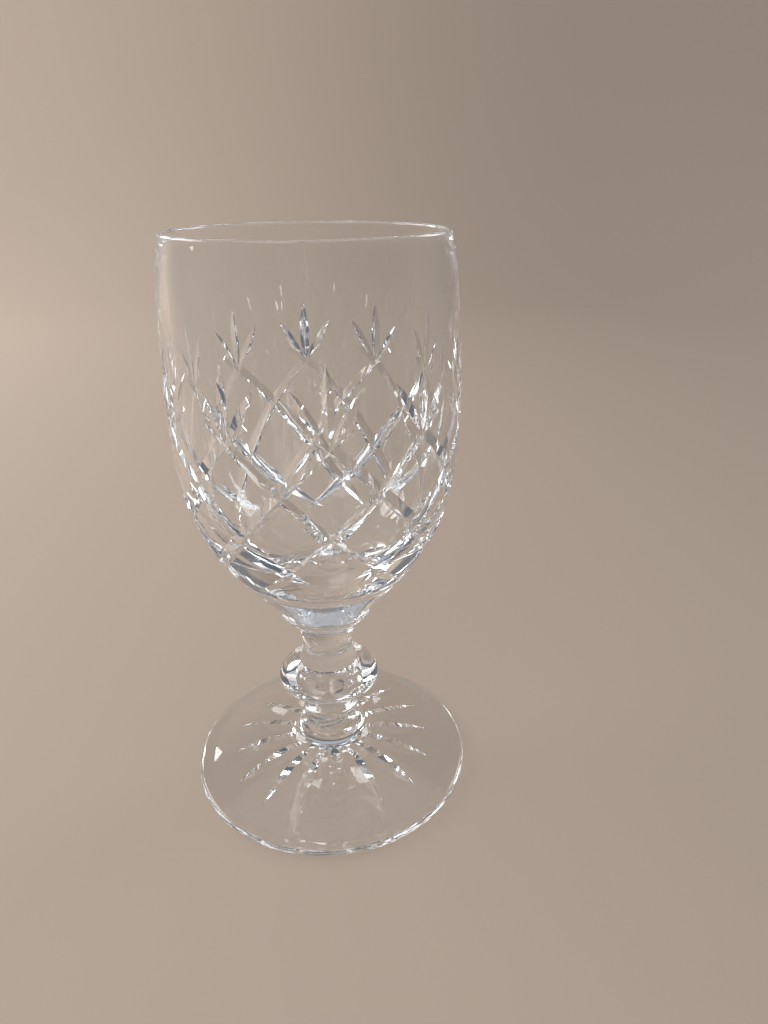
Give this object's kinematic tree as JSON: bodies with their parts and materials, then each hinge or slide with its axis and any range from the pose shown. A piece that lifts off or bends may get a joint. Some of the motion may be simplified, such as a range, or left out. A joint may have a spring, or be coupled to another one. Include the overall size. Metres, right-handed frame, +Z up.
{
  "type": "sherry glass",
  "caption": "Small stemmed crystal glass with a deep tulip bowl cut with diamonds and fans, a ringed neck, an edged knop and a star-cut domed foot.",
  "frame": {"origin": "under the middle of the foot, on the plane that the standing ring rests on", "axes": "+Z up the axis of the stem and the bowl, -Y towards one fan of the cut pattern"},
  "size_m": [0.0584, 0.0584, 0.11],
  "materials": {
    "crystal": "clear polished lead crystal"
  },
  "bodies": {
    "root": {"bowl": "crystal", "collar": "crystal", "neck": "crystal", "knop": "crystal", "stem": "crystal", "foot": "crystal"}
  },
  "joints": []
}
